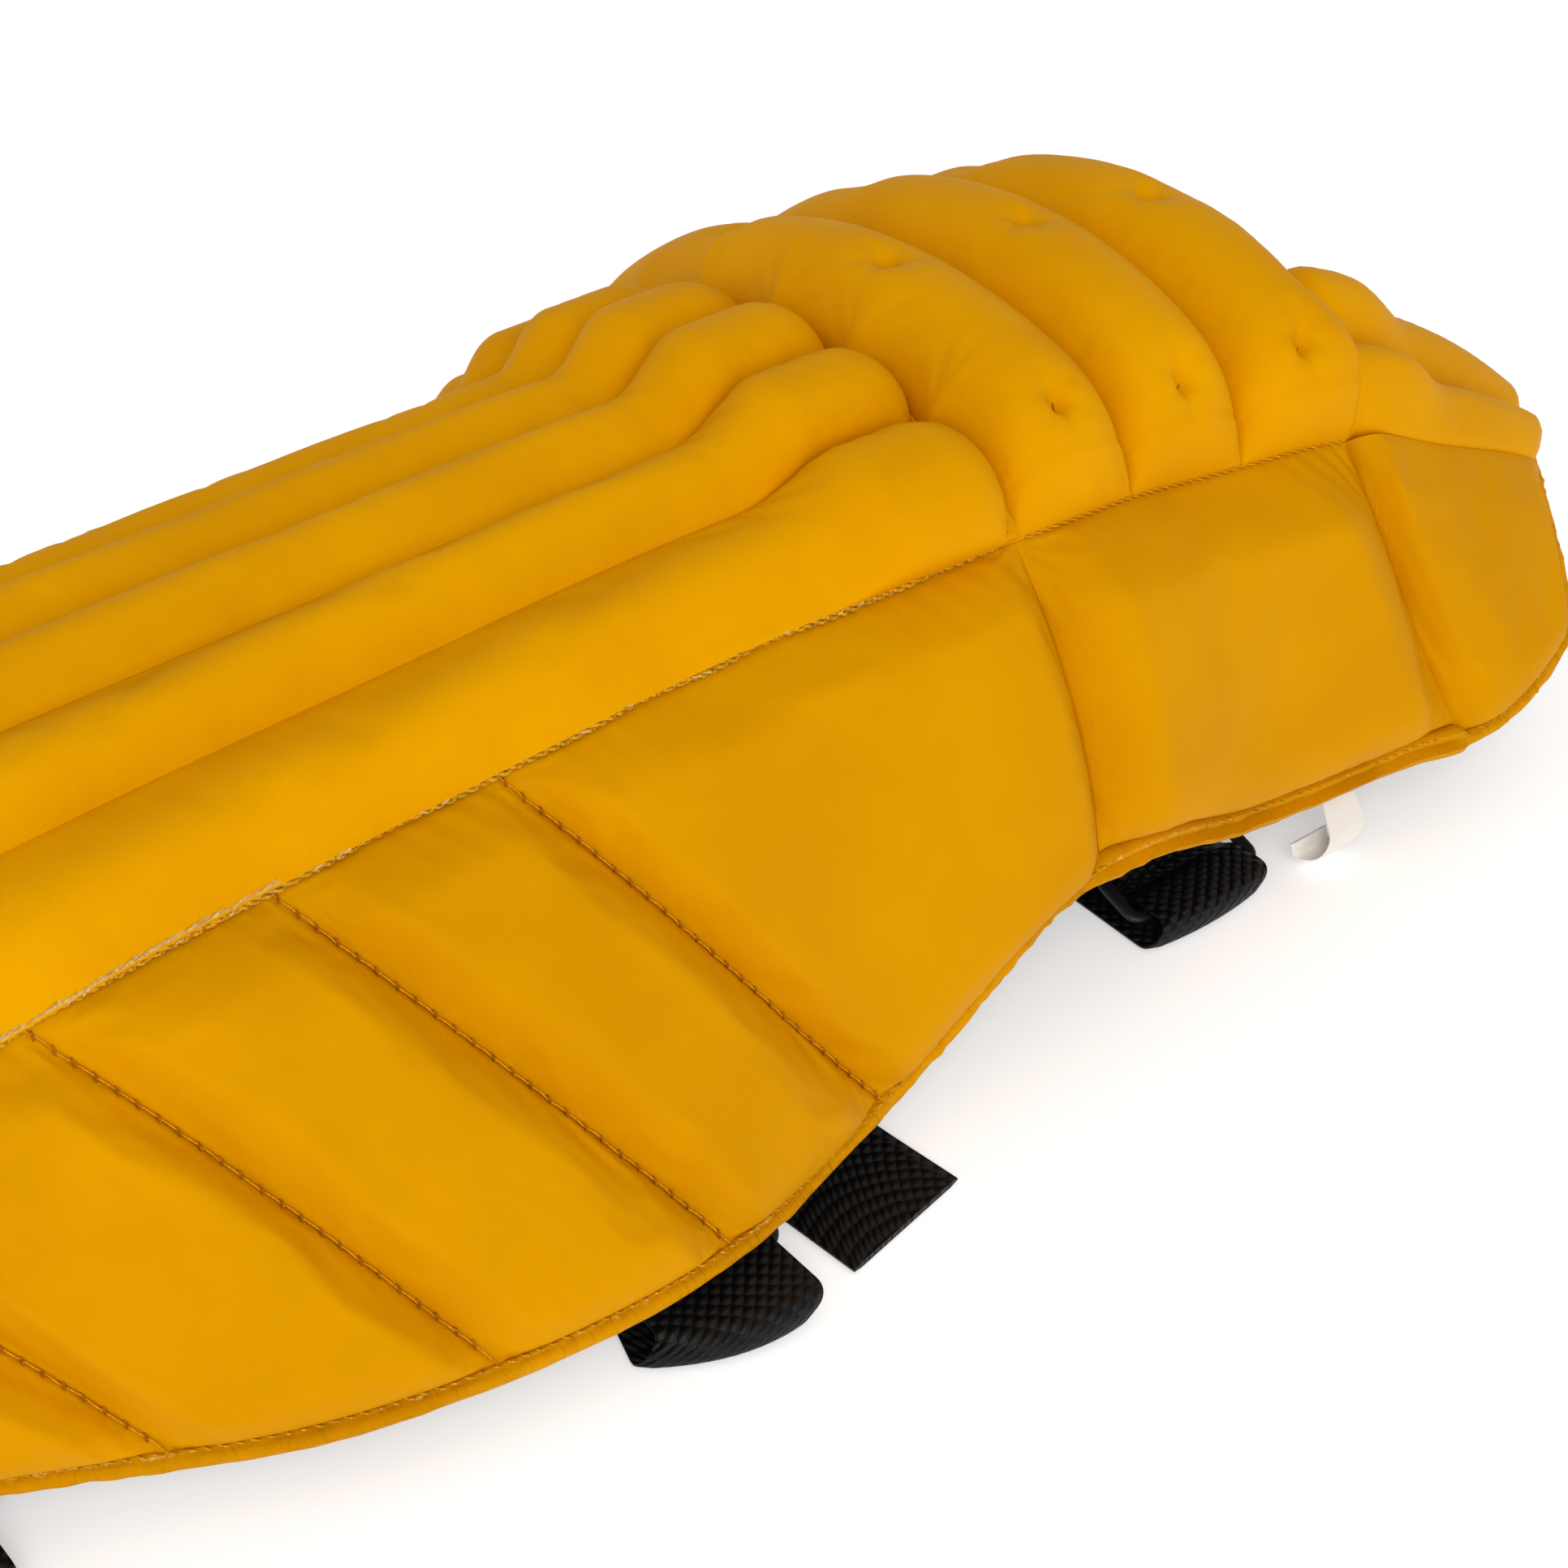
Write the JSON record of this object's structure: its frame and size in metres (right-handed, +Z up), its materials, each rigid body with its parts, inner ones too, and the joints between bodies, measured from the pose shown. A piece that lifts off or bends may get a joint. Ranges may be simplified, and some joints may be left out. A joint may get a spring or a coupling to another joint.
{
  "type": "batting pad",
  "caption": "Padded leg guard for cricket with ribbed shin, tufted knee rolls, stitched calf wings, bound edge, dark lining and webbing straps, lying on its back.",
  "frame": {"origin": "on the floor under the middle of the pad's bounding box", "axes": "+X along the pad from its foot to its top, +Y towards the inner wing, +Z up from the floor that the pad lies on"},
  "size_m": [0.6644, 0.3222, 0.1858],
  "materials": {
    "leather": "satin",
    "binding": "satin",
    "lining": "matte",
    "webbing": "matte",
    "plastic": "satin",
    "tape": "matte"
  },
  "bodies": {
    "root": {"shin_rib_1": "leather", "shin_rib_2": "leather", "shin_rib_3": "leather", "shin_rib_4": "leather", "shin_rib_5": "leather", "shin_rib_6": "leather", "shin_rib_7": "leather", "knee_roll_lower": "leather", "knee_roll_middle": "leather", "knee_roll_upper": "leather", "knee_side_outer": "leather", "knee_side_inner": "leather", "outer_wing_1": "leather", "outer_wing_2": "leather", "outer_wing_3": "leather", "outer_wing_4": "leather", "outer_wing_5": "leather", "inner_wing_1": "leather", "inner_wing_2": "leather", "inner_wing_3": "leather", "inner_wing_4": "leather", "top_rib_1": "leather", "top_rib_2": "leather", "top_rib_3": "leather", "top_rib_4": "leather", "top_rib_5": "leather", "top_rib_6": "leather", "top_rib_7": "leather", "top_side_outer": "leather", "top_side_inner": "leather", "edge_binding": "binding", "back_lining": "lining", "shin_bolster_outer": "lining", "shin_bolster_inner": "lining", "knee_bolster": "lining", "ankle_strap": "webbing", "ankle_tab": "webbing", "ankle_loop": "plastic", "calf_strap": "webbing", "calf_tab": "webbing", "calf_loop": "plastic", "knee_strap": "webbing", "knee_tab": "webbing", "knee_loop": "plastic", "care_label": "tape"}
  },
  "joints": []
}
